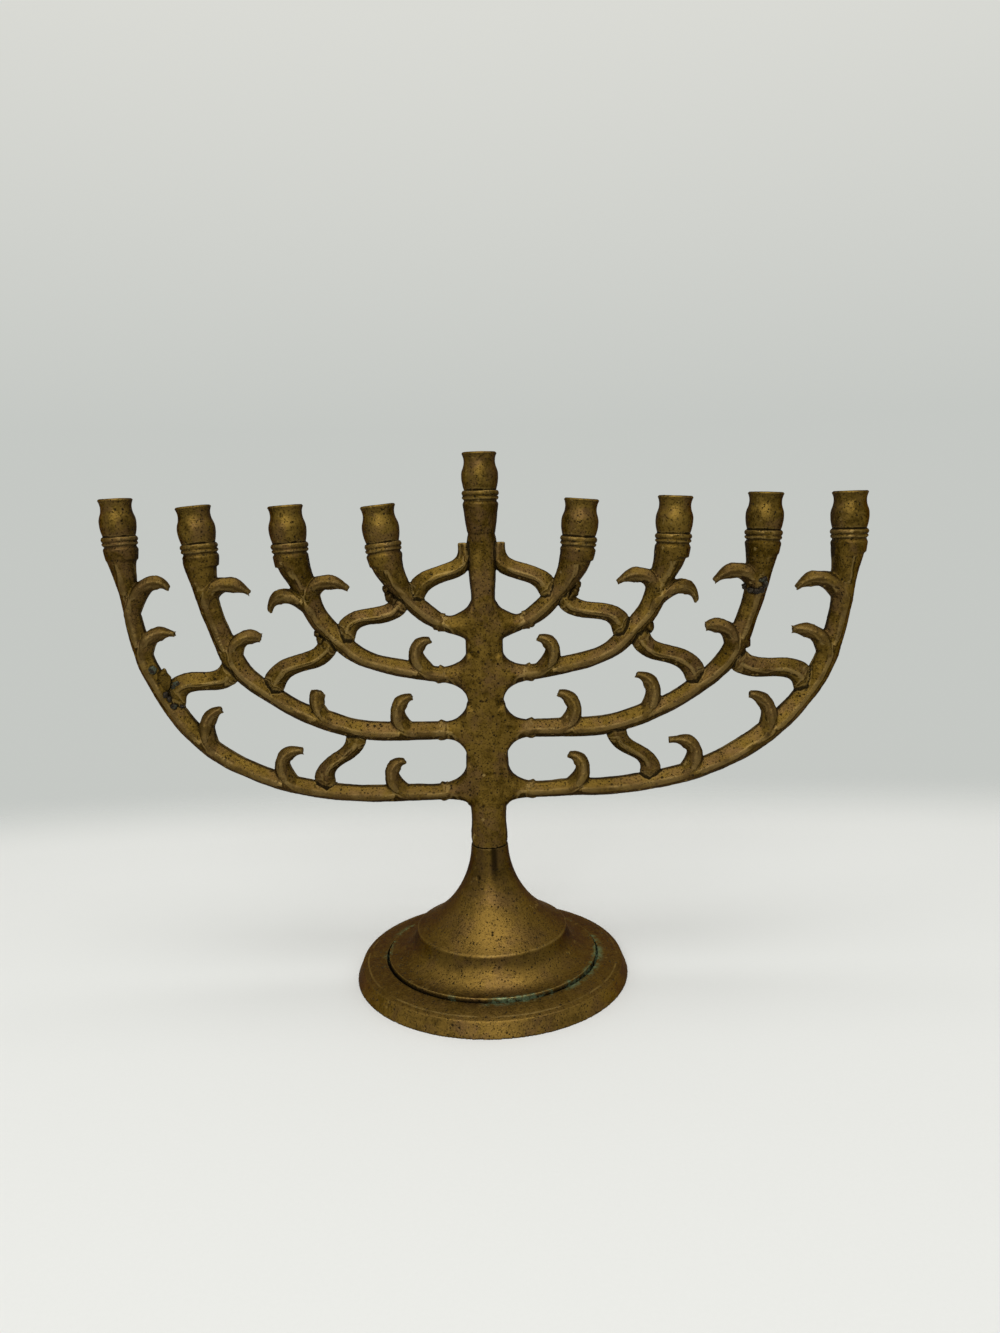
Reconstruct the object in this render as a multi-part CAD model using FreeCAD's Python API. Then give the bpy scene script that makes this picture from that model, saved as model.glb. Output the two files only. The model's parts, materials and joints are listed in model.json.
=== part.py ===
import FreeCAD, Part
import math
import os

V = FreeCAD.Vector

# Nine-branched candle stand. Origin: centre of the foot's underside, +Z up, the branches spread along X,
# and the front looks along -Y. All sizes are in millimetres.

# Candle and its cup, which seats on the head of an arm
candle_radius = 4.75
candle_clearance = 0.2
candle_depth = 11.3
cup_height = 13.5
cup_lip_radius = 6.4
cup_neck_radius = 5.7
cup_neck_drop = 3.2
cup_bulb_radius = 6.75
cup_bulb_drop = 8.4
cup_base_radius = 5.9
cup_lip_edge = 0.5
middle_cup_slimming = 0.1
spigot_radius = 3.4
spigot_length = 5.0
spigot_clearance = 0.05

# Turned head at the top of each arm: two beads, a groove and a shoulder
head_ring_radius = 6.5
head_ring_height = 1.9
head_bead_height = 1.4
head_bead_round = 0.35
head_bow_share = 0.2
head_groove_radius = 6.0
head_groove_height = 0.7
head_shoulder_radius = 6.45
head_waist_radius = 5.9
head_core_share = 0.88
head_length = 8.5
middle_head_length = 15.0
middle_waist_radius = 5.1

# Arms: how far out each cup's lip stands, its height, the height of the arm's root, and the cup's lean
outer_reach = 133.7
second_reach = 103.3
third_reach = 70.6
inner_reach = 36.6
outer_lip = 180.4
second_lip = 180.7
third_lip = 180.2
inner_lip = 180.0
middle_lip = 197.3
outer_root = 72.0
second_root = 95.6
third_root = 116.7
inner_root = 135.2
outer_lean = -0.5
second_lean = 2.6
third_lean = 3.1
inner_lean = 5.0

# The repaired outer arm on the left stands higher and is slimmer, and the arms beside it lean further out
left_outer_reach = 131.7
left_outer_lip = 184.0
left_outer_lean = 1.7
left_outer_slimming = 0.35
left_second_reach = 103.9
left_second_lean = 4.8
left_inner_reach = 37.3
left_inner_lip = 179.5
left_inner_lean = 5.8

# Section of an arm: a crest between two bevels, nearer the lower edge, and a narrow flat edge
arm_width = 7.0
arm_thickness = 7.2
low_bevel_share = 0.36
high_bevel_share = 0.52
round_bevel_share = 0.293
full_round_share = 0.45
edge_share = 0.41
swell_share = 0.08

# Stem between the foot and the middle cup
stem_base_radius = 6.5
stem_half_width = 7.7
stem_high_half_width = 6.2
stem_top_half_width = 4.8
stem_thickness = 8.8
stem_bevel = 2.8
root_width = 6.1
root_fillet_run = 9.6
root_reach = 15.0
lowest_fillet = 2.6
highest_fillet = 6.4

# Leaves cast on the arms, and the scroll bars laid between them
leaf_reach = 14.0
leaf_slip = 8.0
leaf_taper = 1.15
leaf_root_share = 0.62
leaf_tip_thickness = 2.9
leaf_sink = 0.4
leaf_swell = 1.7
bar_width = 6.4
bar_thickness = 6.0
bar_end_thickness = 5.4
top_bar_start = 4.6
top_bar_height = 165.2

# Foot: a turned dome on a turned ring
foot_radius = 52.3
foot_side_height = 5.4
foot_side_inset = 2.2
foot_rim_width = 3.8
ring_crown_height = 7.2
ring_wall = 2.6
ledge_drop = 2.0
ledge_width = 3.4
groove_gap = 0.8
dome_radius = 40.0
dome_lip_thickness = 3.1
dome_wall = 2.6
skirt_top_radius = 28.5
skirt_top_height = 18.5
turned_step = 0.4
shoulder_radius = 20.4
shoulder_height = 23.8
neck_radius = 7.0
neck_height = 50.8
boss_height = 27.0
boss_radius = 11.0
neck_bow_share = 0.108
shoulder_bow_share = 0.03
skirt_bow_share = 0.21
inner_bow_share = 0.08
crown_bow_share = 0.03

# Fixing from below: the stem's spigot in the neck, and the screw with its washer
stem_spigot_radius = 4.0
stem_spigot_length = 12.4
stem_spigot_clearance = 0.06
stem_spigot_end_gap = 0.4
screw_radius = 2.5
thread_clearance = 0.06
screw_hole_clearance = 0.3
thread_engagement = 8.0
tapped_end_gap = 1.6
washer_radius = 8.0
washer_thickness = 1.2
screw_head_radius = 4.6
screw_head_height = 3.0
slot_width = 1.2
slot_depth = 1.4

overrun = 60.0

# Places along the rounded corner where a root leaves the stem, as shares of its quarter turn
root_turn_shares = (0.87, 0.73, 0.56, 0.33)

# Each arm's middle line from its root outwards: the distance out as a share of the reach, the height as a
# share of the rise from root to seat, the width as a share of arm_width, and the thickness likewise
outer_path_shares = [
    (0.128, -0.001, 0.87, 1.00),
    (0.226, 0.004, 0.93, 1.00),
    (0.338, 0.005, 0.94, 1.00),
    (0.451, 0.022, 0.99, 1.00),
    (0.564, 0.055, 1.01, 1.00),
    (0.669, 0.110, 1.07, 1.00),
    (0.765, 0.190, 1.19, 1.00),
    (0.844, 0.285, 1.13, 1.00),
    (0.900, 0.381, 1.14, 1.00),
    (0.941, 0.485, 1.17, 1.00),
    (0.965, 0.585, 1.11, 1.02),
    (0.980, 0.678, 1.07, 1.06),
    (0.988, 0.783, 1.21, 1.20),
    (0.994, 0.865, 1.44, 1.44),
    (0.998, 0.925, 1.66, 1.66),
]
left_outer_path_shares = [
    (0.130, -0.002, 0.88, 1.00),
    (0.229, -0.002, 0.92, 1.00),
    (0.342, -0.003, 0.90, 1.00),
    (0.458, 0.013, 0.92, 1.00),
    (0.573, 0.047, 0.93, 1.00),
    (0.676, 0.101, 0.93, 1.00),
    (0.772, 0.177, 1.00, 1.00),
    (0.843, 0.273, 1.03, 1.00),
    (0.890, 0.365, 1.05, 1.00),
    (0.923, 0.447, 1.02, 1.00),
    (0.949, 0.523, 0.95, 1.00),
    (0.966, 0.614, 0.93, 1.00),
    (0.979, 0.711, 0.83, 1.00),
    (0.985, 0.787, 0.88, 1.03),
    (0.990, 0.848, 1.12, 1.18),
    (0.995, 0.893, 1.34, 1.38),
    (0.996, 0.929, 1.54, 1.58),
]
second_path_shares = [
    (0.165, 0.000, 0.97, 1.00),
    (0.271, 0.000, 1.00, 1.00),
    (0.387, 0.003, 1.04, 1.00),
    (0.484, 0.024, 1.04, 1.00),
    (0.581, 0.072, 1.07, 1.00),
    (0.678, 0.130, 0.94, 1.00),
    (0.770, 0.218, 1.00, 1.00),
    (0.847, 0.305, 1.04, 1.00),
    (0.893, 0.393, 1.17, 1.00),
    (0.933, 0.533, 1.07, 1.02),
    (0.962, 0.659, 1.09, 1.08),
    (0.978, 0.775, 1.27, 1.24),
    (0.985, 0.852, 1.52, 1.52),
    (0.990, 0.910, 1.68, 1.68),
]
third_path_shares = [
    (0.242, 0.004, 0.83, 1.00),
    (0.427, 0.054, 0.94, 1.00),
    (0.569, 0.103, 0.86, 1.00),
    (0.683, 0.182, 0.96, 1.00),
    (0.782, 0.314, 1.12, 1.00),
    (0.861, 0.448, 1.12, 1.00),
    (0.908, 0.604, 1.24, 1.10),
    (0.940, 0.726, 1.36, 1.30),
    (0.962, 0.800, 1.56, 1.52),
    (0.975, 0.870, 1.70, 1.70),
]
inner_path_shares = [
    (0.471, 0.071, 0.93, 1.00),
    (0.640, 0.227, 1.03, 1.00),
    (0.765, 0.386, 1.07, 1.04),
    (0.855, 0.550, 1.30, 1.26),
    (0.900, 0.650, 1.50, 1.48),
    (0.935, 0.770, 1.68, 1.68),
]

# Each leaf: its place along the middle line in steps of the table above, then its bend and its tip, out
# from the foot of the leaf and up, and the widths of its foot and tip, all as shares of leaf_reach
outer_leaf_shares = [
    (1.42, 0.17, 0.84, -0.40, 0.89, 0.66, 0.14),
    (4.30, 0.16, 0.88, -0.78, 0.78, 0.66, 0.15),
    (6.60, -0.16, 0.73, -0.71, 0.79, 0.60, 0.16),
    (9.85, -0.49, 0.36, -1.02, 0.31, 0.70, 0.14),
    (12.25, -0.80, 0.30, -1.22, -0.17, 0.74, 0.12),
]
left_outer_leaf_shares = [
    (1.45, 0.14, 0.84, -0.40, 0.87, 0.66, 0.14),
    (4.22, 0.16, 0.86, -0.64, 0.79, 0.64, 0.16),
    (6.57, -0.13, 0.69, -0.58, 0.76, 0.58, 0.15),
    (10.95, -0.47, 0.33, -0.91, 0.16, 0.62, 0.11),
    (12.90, -0.66, 0.64, -1.03, 0.18, 0.70, 0.12),
]
second_leaf_shares = [
    (1.52, 0.09, 0.85, -0.49, 0.92, 0.64, 0.15),
    (4.42, 0.05, 0.81, -0.56, 0.89, 0.60, 0.14),
    (8.55, -0.44, 0.37, -0.90, 0.22, 0.66, 0.18),
    (11.25, -0.71, 0.23, -1.16, -0.24, 0.68, 0.12),
]
left_second_leaf_shares = [
    (1.52, 0.09, 0.85, -0.49, 0.92, 0.64, 0.15),
    (4.28, 0.06, 0.40, -0.07, 0.68, 0.46, 0.28),
    (8.55, -0.44, 0.37, -0.90, 0.20, 0.66, 0.18),
    (11.25, -0.71, 0.15, -1.16, -0.26, 0.68, 0.12),
]
third_leaf_shares = [
    (0.72, 0.10, 0.76, -0.46, 0.78, 0.66, 0.14),
    (6.05, 0.89, 0.31, 1.01, -0.38, 0.66, 0.11),
    (6.70, -0.66, 0.27, -1.16, -0.12, 0.66, 0.12),
]
inner_leaf_shares = []

# Each scroll bar: its places on the inner and on the outer of its two arms in table steps, its two bends as
# shares of the way between those places, out and down, and its widths at the start, in the middle and at
# the end as shares of bar_width
top_bar_shares = (0.00, 1.43, 0.00, 0.75, 0.84, 0.30, 1.25, 0.98, 1.35)
upper_bar_shares = (2.10, 3.58, 0.19, 0.84, 0.86, 0.07, 1.30, 0.94, 1.40)
middle_bar_shares = (4.19, 6.00, 0.12, 0.78, 0.80, 0.20, 1.40, 1.04, 1.45)
side_bar_shares = (7.90, 8.00, 0.24, 0.92, 0.85, -0.08, 1.55, 1.10, 1.65)
low_bar_shares = (2.85, 3.07, -0.05, 0.62, 1.20, 0.33, 1.50, 0.86, 1.50)


def revolved(corners):
    """A solid turned about Z from (radius, height, bow) corners. The bow is the height of the arc to the
    next corner as a share of its chord, to the left of its run, and zero for a straight line."""
    edges = []
    for (x1, z1, bow), (x2, z2, _) in zip(corners, corners[1:] + corners[:1]):
        start = V(x1, 0, z1)
        end = V(x2, 0, z2)
        if bow:
            middle = (start + end) * 0.5 + V(z1 - z2, 0, x2 - x1) * bow
            edges.append(Part.Arc(start, middle, end).toShape())
        else:
            edges.append(Part.makeLine(start, end))
    return Part.Face(Part.Wire(edges)).revolve(V(0, 0, 0), V(0, 0, 1), 360)


def upright_bow(start, end):
    """The bow of the arc between two (radius, height) points that runs upright at the first of them."""
    lean = math.atan2(end[0] - start[0], end[1] - start[1])
    return math.tan(lean / 2) / 2


def rod(radius, bottom, top):
    """An upright cylinder on the Z axis."""
    return Part.makeCylinder(radius, top - bottom, V(0, 0, bottom))


def section(lower, upper, thickness, low_bevel, high_bevel):
    """One closed section across an arm, from its lower to its upper edge, the same in front and behind."""
    middle = (lower + upper) * 0.5
    flat = (upper - lower) * (0.5 / (1 + swell_share))
    across = (upper - lower).normalize()
    lower = middle - flat
    upper = middle + flat
    low_crest = lower + across * low_bevel
    high_crest = upper - across * high_bevel
    crest = V(0, thickness / 2 / (1 + swell_share), 0)
    edge = crest * edge_share
    front = [lower - edge, low_crest - crest, high_crest - crest, upper - edge]
    back = [upper + edge, high_crest + crest, low_crest + crest, lower + edge]
    corners = front + back
    outline = []
    for start, end in zip(corners, corners[1:] + corners[:1]):
        chord_middle = (start + end) * 0.5
        outline += [start, chord_middle + (chord_middle - middle) * swell_share]
    return Part.makePolygon(outline + outline[:1])


def arm_section(centre, across, width, thickness, rise=0.0, drop=0.0):
    """The section of an arm at its centre, rounder where it is thick, deepened upwards by rise and downwards
    by drop."""
    roundness = min(max(thickness / arm_thickness - 1, 0) / full_round_share, 1)
    low_bevel = low_bevel_share + (round_bevel_share - low_bevel_share) * roundness
    high_bevel = high_bevel_share + (round_bevel_share - high_bevel_share) * roundness
    flat_width = width / (1 + swell_share)
    lower = centre - across * (width / 2 + drop)
    upper = centre + across * (width / 2 + rise)
    return section(lower, upper, thickness, flat_width * low_bevel, flat_width * high_bevel)


def bezier(points, t):
    """A point of the curve that these points control."""
    while len(points) > 1:
        points = [a * (1 - t) + b * t for a, b in zip(points, points[1:])]
    return points[0]


def curved_bar(points, width_at, thickness_at, steps):
    """A bar along the curve of its control points, with its width and thickness given at each share."""
    slopes = [b - a for a, b in zip(points, points[1:])]
    wires = []
    for step in range(steps + 1):
        t = step / steps
        along = bezier(slopes, t).normalize()
        across = V(-along.z, 0, along.x)
        wires.append(arm_section(bezier(points, t), across, width_at(t), thickness_at(t)))
    return Part.makeLoft(wires, True, False)


def stem_half_at(height):
    """Half the stem's width between the arms at a height."""
    share = (height - outer_root) / (inner_root - outer_root)
    return stem_half_width + (stem_high_half_width - stem_half_width) * share


class Arm:
    """One arm's sizes, and the places worked out from them."""

    def __init__(self, root, reach, lip, lean, path, leaves, rise, drop, slimming=0.0):
        self.root = root
        self.slimming = slimming
        self.leaves = leaves
        self.rise = rise
        self.drop = drop
        self.lean = lean
        self.axis = V(math.sin(math.radians(lean)), 0, math.cos(math.radians(lean)))
        self.seat = V(reach, 0, lip) - self.axis * cup_height
        climb = self.seat.z - root
        self.centres = [V(out * reach, 0, root + up * climb) for out, up, _, _ in path]
        self.widths = [share * arm_width for _, _, share, _ in path]
        self.thicknesses = [share * arm_thickness for _, _, _, share in path]

    def way(self, step):
        """The way along the middle line in one step of the arm's table."""
        return self.centres[int(step) + 1] - self.centres[int(step)]

    def place(self, step):
        """A place on the middle line, counted in steps of the arm's table."""
        return self.centres[int(step)] + self.way(step) * (step - int(step))


def root_sections(arm, stem_edge):
    """The arm's root inside the stem and the rounded corners where it leaves the stem's edge."""
    upright = V(0, 0, 1)
    thickness = (stem_thickness + arm_thickness) / 2
    end = stem_half_at(arm.root) + root_fillet_run
    buried = V(stem_edge / 2, 0, arm.root)
    wires = [arm_section(buried, upright, root_width, thickness, arm.rise, arm.drop)]
    for share in root_turn_shares:
        turn = math.pi / 2 * share
        swell = 1 - math.cos(turn)
        centre = V(end - (end - stem_edge) * math.sin(turn), 0, arm.root)
        deep = arm_thickness + (thickness - arm_thickness) * swell
        wires.append(arm_section(centre, upright, root_width, deep, arm.rise * swell, arm.drop * swell))
    return wires


def head(length, waist, slimming):
    """The turned head of an arm, with its seat at height zero."""
    ring_base = -head_ring_height
    bead_base = ring_base - head_bead_height
    groove_base = bead_base - head_groove_height
    ring_side = head_ring_radius - head_bead_round - slimming
    corners = [
        (0, -length, 0),
        (waist - slimming, -length, 0),
        (head_shoulder_radius - slimming, groove_base - head_groove_height, 0),
        (head_groove_radius - slimming, groove_base, 0),
        (head_groove_radius - slimming, bead_base, 0),
        (ring_side, bead_base, -head_bow_share),
        (ring_side, ring_base, -head_bow_share),
        (ring_side, 0, 0),
        (0, 0, 0),
    ]
    return revolved(corners)


def socket():
    """The hole in an arm's head that takes the cup's spigot."""
    return rod(spigot_radius + spigot_clearance, -spigot_length - spigot_clearance, overrun)


def cup(slimming):
    """A turned candle cup with its spigot, seated at height zero."""
    base = (cup_base_radius - slimming, 0)
    bulb = (cup_bulb_radius - slimming, cup_height - cup_bulb_drop)
    neck = (cup_neck_radius - slimming, cup_height - cup_neck_drop)
    lip = (cup_lip_radius - slimming, cup_height - cup_lip_edge)
    turn = ((bulb[0] + neck[0]) / 2, (bulb[1] + neck[1]) / 2)
    bore = candle_radius + candle_clearance
    floor = cup_height - candle_depth
    corners = [
        (0, -spigot_length, 0),
        (spigot_radius, -spigot_length, 0),
        (spigot_radius, 0, 0),
        (*base, -upright_bow(base, bulb)),
        (*bulb, upright_bow(bulb, turn)),
        (*turn, -upright_bow(turn, neck)),
        (*neck, upright_bow(neck, lip)),
        (*lip, 0),
        (lip[0] - cup_lip_edge, cup_height, 0),
        (bore, cup_height, 0),
        (bore, floor, 0),
        (0, floor, 0),
    ]
    return revolved(corners)


def seated(shape, seat, lean):
    """A copy of a shape made about Z, stood on an arm's seat with its lean."""
    copy = shape.copy()
    copy.Placement = FreeCAD.Placement(seat, FreeCAD.Rotation(V(0, 1, 0), lean))
    return copy


def leaf(arm, shares):
    """A pointed leaf that parts from the arm and curls away from it."""
    step, bend_out, bend_up, tip_out, tip_up, foot_share, tip_share = shares
    foot = arm.place(step)
    root = foot - arm.way(step).normalize() * leaf_slip
    bend = foot + V(bend_out, 0, bend_up) * leaf_reach
    tip = foot + V(tip_out, 0, tip_up) * leaf_reach

    def width_at(t):
        drawn_in = 1 - leaf_root_share * (1 - t) ** 6
        return (foot_share + (tip_share - foot_share) * t ** leaf_taper) * leaf_reach * drawn_in

    def thickness_at(t):
        sunk = arm.thicknesses[int(step)] - leaf_sink
        return sunk + (leaf_tip_thickness - sunk) * t ** 2 + leaf_swell * 4 * t * (1 - t)

    return curved_bar([root, foot, bend, tip], width_at, thickness_at, 6)


def whole_arm(arm, stem_edge):
    """The arm from inside the stem to the cup's seat, with its leaves and its turned head."""
    centres = arm.centres
    buried = arm.seat - arm.axis * (head_length / 2)
    wires = root_sections(arm, stem_edge)
    for index, centre in enumerate(centres):
        before = centres[index - 1] if index else V(root_reach, 0, arm.root)
        after = centres[index + 1] if index + 1 < len(centres) else buried
        along = (after - before).normalize()
        across = V(-along.z, 0, along.x)
        wires.append(arm_section(centre, across, arm.widths[index], arm.thicknesses[index]))
    across = V(-arm.axis.z, 0, arm.axis.x)
    inside = (head_waist_radius - arm.slimming) * 2 * head_core_share
    wires.append(arm_section(buried, across, inside, inside))
    shape = Part.makeLoft(wires, True, False)
    shape = shape.fuse([leaf(arm, shares) for shares in arm.leaves])
    shape = shape.fuse(seated(head(head_length, head_waist_radius, arm.slimming), arm.seat, arm.lean))
    return shape.cut(seated(socket(), arm.seat, arm.lean))


def scroll_bar(start, end, shares):
    """A scroll bar along an S curve between its places on two pieces."""
    _, _, out1, down1, out2, down2, start_share, middle_share, end_share = shares
    way = end - start
    bend1 = start + V(way.x * out1, 0, way.z * down1)
    bend2 = start + V(way.x * out2, 0, way.z * down2)

    def width_at(t):
        near_share = start_share if 2 * t < 1 else end_share
        return (middle_share + (near_share - middle_share) * (2 * t - 1) ** 2) * bar_width

    def thickness_at(t):
        return bar_thickness + (bar_end_thickness - bar_thickness) * (2 * t - 1) ** 2

    return curved_bar([start, bend1, bend2, end], width_at, thickness_at, 8)


def beyond_roots():
    """A large block that covers everything beyond the ends of the roots on the right."""
    return Part.makeBox(overrun * 4, overrun * 2, overrun * 4, V(root_reach, -overrun, 0))


def flipped(shape):
    """The mirror image on the other side of the stem."""
    return shape.mirror(V(0, 0, 0), V(1, 0, 0))


def largest(shape):
    """The main solid of a cut shape, without chips left beyond what cut it."""
    return max(shape.Solids, key=lambda solid: solid.Volume)


def arm_set(side):
    """The four arms of one side, outermost first, each as on the right."""
    roots = [outer_root, second_root, third_root, inner_root]
    low, mid, high = [(after - before - root_width) / 2 for before, after in zip(roots, roots[1:])]
    if side > 0:
        outer = Arm(outer_root, outer_reach, outer_lip, outer_lean, outer_path_shares,
                    outer_leaf_shares, low, lowest_fillet)
        second = Arm(second_root, second_reach, second_lip, second_lean, second_path_shares,
                     second_leaf_shares, mid, low)
        inner = Arm(inner_root, inner_reach, inner_lip, inner_lean, inner_path_shares,
                    inner_leaf_shares, highest_fillet, high)
    else:
        outer = Arm(outer_root, left_outer_reach, left_outer_lip, left_outer_lean, left_outer_path_shares,
                    left_outer_leaf_shares, low, lowest_fillet, left_outer_slimming)
        second = Arm(second_root, left_second_reach, second_lip, left_second_lean, second_path_shares,
                     left_second_leaf_shares, mid, low)
        inner = Arm(inner_root, left_inner_reach, left_inner_lip, left_inner_lean, inner_path_shares,
                    inner_leaf_shares, highest_fillet, high)
    third = Arm(third_root, third_reach, third_lip, third_lean, third_path_shares,
                third_leaf_shares, high, mid)
    return {"outer": outer, "second": second, "third": third, "inner": inner}


def stem_column():
    """The upright between the foot and the middle cup, round below and flat-fronted between the arms."""
    seat = middle_lip - cup_height
    round_top = seat - middle_head_length
    base_bevel = stem_base_radius * 2 / (1 + swell_share) * round_bevel_share
    top_bevel = stem_top_half_width * 2 / (1 + swell_share) * round_bevel_share
    rows = [
        (neck_height, stem_base_radius, stem_base_radius * 2, base_bevel),
        ((neck_height + outer_root) / 2, stem_base_radius, stem_base_radius * 2, base_bevel),
        (outer_root, stem_half_at(outer_root), (stem_thickness + stem_base_radius * 2) / 2, stem_bevel),
        (second_root, stem_half_at(second_root), stem_thickness, stem_bevel),
        (third_root, stem_half_at(third_root), stem_thickness, stem_bevel),
        (inner_root, stem_half_at(inner_root), stem_thickness, stem_bevel),
        (inner_root + highest_fillet, stem_top_half_width, stem_thickness, stem_bevel / 2),
        ((inner_root + round_top) / 2, stem_top_half_width, stem_thickness, stem_bevel / 2),
        (round_top, stem_top_half_width, stem_top_half_width * 2, top_bevel),
        (seat - middle_head_length / 2, stem_top_half_width, stem_top_half_width * 2, top_bevel),
    ]
    wires = []
    for height, half_width, thickness, bevel in rows:
        wires.append(section(V(-half_width, 0, height), V(half_width, 0, height), thickness, bevel, bevel))
    return Part.makeLoft(wires, True, False)


def stem(stubs):
    """The stem with the roots of the arms, its spigot below, and the middle head on top."""
    seat = V(0, 0, middle_lip - cup_height)
    shape = stem_column().fuse(stubs)
    shape = shape.fuse(seated(head(middle_head_length, middle_waist_radius, 0), seat, 0))
    shape = shape.cut(seated(socket(), seat, 0))
    spigot_bottom = neck_height - stem_spigot_length + stem_spigot_end_gap
    shape = shape.fuse(rod(stem_spigot_radius, spigot_bottom, neck_height + stem_base_radius))
    hole_top = spigot_bottom + thread_engagement + tapped_end_gap
    return shape.cut(rod(screw_radius, spigot_bottom - overrun, hole_top)).removeSplitter()


def foot_dome():
    """The turned bell of the foot, hollow below, with the bored neck that takes the stem's spigot."""
    ledge = ring_crown_height - ledge_drop
    lip_top = ledge + dome_lip_thickness
    socket_radius = stem_spigot_radius + stem_spigot_clearance
    hole_radius = screw_radius + screw_hole_clearance
    socket_floor = neck_height - stem_spigot_length
    inner_edge = dome_radius - ledge_width
    inner_skirt = skirt_top_radius - dome_wall
    corners = [
        (neck_radius, neck_height, -neck_bow_share),
        (shoulder_radius, shoulder_height, -shoulder_bow_share),
        (skirt_top_radius, skirt_top_height, 0),
        (skirt_top_radius + turned_step, skirt_top_height - turned_step, -skirt_bow_share),
        (dome_radius, lip_top, 0),
        (dome_radius, ledge, 0),
        (inner_edge, ledge, 0),
        (inner_edge, lip_top - dome_wall / 2, skirt_bow_share),
        (inner_skirt, skirt_top_height - dome_wall, -inner_bow_share),
        (boss_radius, boss_height, 0),
        (hole_radius, boss_height, 0),
        (hole_radius, socket_floor, 0),
        (socket_radius, socket_floor, 0),
        (socket_radius, neck_height, 0),
    ]
    return revolved(corners)


def foot_ring():
    """The turned ring that the dome sits in, hollow below, standing on its rim."""
    wall = dome_radius + groove_gap
    ledge = ring_crown_height - ledge_drop
    edge = foot_radius - foot_side_inset
    rim = foot_radius - foot_rim_width
    inner = dome_radius - ledge_width
    corners = [
        (wall, ring_crown_height, crown_bow_share),
        (edge, foot_side_height, 0),
        (foot_radius, 0, 0),
        (rim, 0, 0),
        (rim - foot_side_inset, ledge - ring_wall, 0),
        (inner, ledge - ring_wall, 0),
        (inner, ledge, 0),
        (wall, ledge, 0),
    ]
    return revolved(corners)


def clamp_washer():
    """The washer between the screw's head and the boss inside the foot."""
    bottom = boss_height - washer_thickness
    ring = rod(washer_radius, bottom, boss_height)
    return ring.cut(rod(screw_radius + screw_hole_clearance, bottom - overrun, boss_height + overrun))


def clamp_screw():
    """The slotted screw that draws the stem's spigot into the neck."""
    seat = boss_height - washer_thickness
    tip = neck_height - stem_spigot_length + stem_spigot_end_gap + thread_engagement
    bottom = seat - screw_head_height
    shape = rod(screw_radius - thread_clearance, seat, tip).fuse(rod(screw_head_radius, bottom, seat))
    slot = Part.makeBox(overrun, slot_width, slot_depth, V(-overrun / 2, -slot_width / 2, bottom))
    return shape.cut(slot)


def side_parts(side):
    """The arms, cups and scroll bars of one side, by name, and the roots that belong to the stem."""
    word = "right" if side > 0 else "left"
    turned = (lambda shape: shape) if side > 0 else flipped
    arms = arm_set(side)
    beyond = beyond_roots()
    solids = {}
    parts = {}
    roots = []
    for name, arm in arms.items():
        stem_edge = stem_top_half_width if name == "inner" else stem_half_at(arm.root)
        solids[name] = whole_arm(arm, stem_edge)
        parts[f"arm_{word}_{name}"] = turned(largest(solids[name].common(beyond)))
        roots.append(turned(largest(solids[name].cut(beyond))))
        parts[f"cup_{word}_{name}"] = turned(seated(cup(arm.slimming), arm.seat, arm.lean))
    bars = {
        "upper": ("inner", "third", upper_bar_shares),
        "middle": ("third", "second", middle_bar_shares),
        "side": ("second", "outer", side_bar_shares),
        "low": ("second", "outer", low_bar_shares),
    }
    for name, (start, end, shares) in bars.items():
        bar = scroll_bar(arms[start].place(shares[0]), arms[end].place(shares[1]), shares)
        parts[f"scroll_{word}_{name}"] = turned(largest(bar.cut([solids[start], solids[end]])))
    landing = arms["inner"].place(top_bar_shares[1])
    bar = scroll_bar(V(top_bar_start, 0, top_bar_height), landing, top_bar_shares)
    parts[f"scroll_{word}_top"] = turned(largest(bar.cut([solids["inner"], stem_column()])))
    return parts, roots


def build():
    """Every piece of the stand, by name."""
    parts = {"foot_dome": foot_dome(), "foot_ring": foot_ring()}
    parts["clamp_washer"] = clamp_washer()
    parts["clamp_screw"] = clamp_screw()
    roots = []
    for side in (1, -1):
        pieces, side_roots = side_parts(side)
        parts.update(pieces)
        roots += side_roots
    parts["stem"] = stem(roots)
    parts["cup_middle"] = seated(cup(middle_cup_slimming), V(0, 0, middle_lip - cup_height), 0)
    return parts


os.makedirs("parts", exist_ok=True)
for name, shape in build().items():
    shape.exportStep(os.path.join("parts", name + ".step"))
    print(name, len(shape.Solids), round(shape.Volume), shape.isValid())
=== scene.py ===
"""An aged cast-brass candle stand with nine cups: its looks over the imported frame, in metres."""
import json
import math
from collections import namedtuple

import bmesh
import bpy
import numpy as np
from mathutils import Matrix, Vector, noise
from mathutils.bvhtree import BVHTree


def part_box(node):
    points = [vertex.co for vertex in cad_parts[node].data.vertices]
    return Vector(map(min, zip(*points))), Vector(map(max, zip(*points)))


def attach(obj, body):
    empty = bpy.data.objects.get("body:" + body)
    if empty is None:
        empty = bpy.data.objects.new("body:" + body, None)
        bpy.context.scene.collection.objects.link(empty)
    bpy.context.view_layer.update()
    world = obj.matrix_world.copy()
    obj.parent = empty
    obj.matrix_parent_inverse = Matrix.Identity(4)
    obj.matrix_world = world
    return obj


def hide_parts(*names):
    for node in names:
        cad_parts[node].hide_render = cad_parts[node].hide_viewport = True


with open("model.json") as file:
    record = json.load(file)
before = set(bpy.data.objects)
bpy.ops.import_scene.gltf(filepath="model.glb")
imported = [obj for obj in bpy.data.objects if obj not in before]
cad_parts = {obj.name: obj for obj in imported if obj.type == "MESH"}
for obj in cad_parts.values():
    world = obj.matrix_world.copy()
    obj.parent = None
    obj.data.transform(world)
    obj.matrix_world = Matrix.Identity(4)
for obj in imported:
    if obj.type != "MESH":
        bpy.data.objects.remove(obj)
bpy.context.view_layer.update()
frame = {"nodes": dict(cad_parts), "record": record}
NODES = frame["nodes"]
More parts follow.
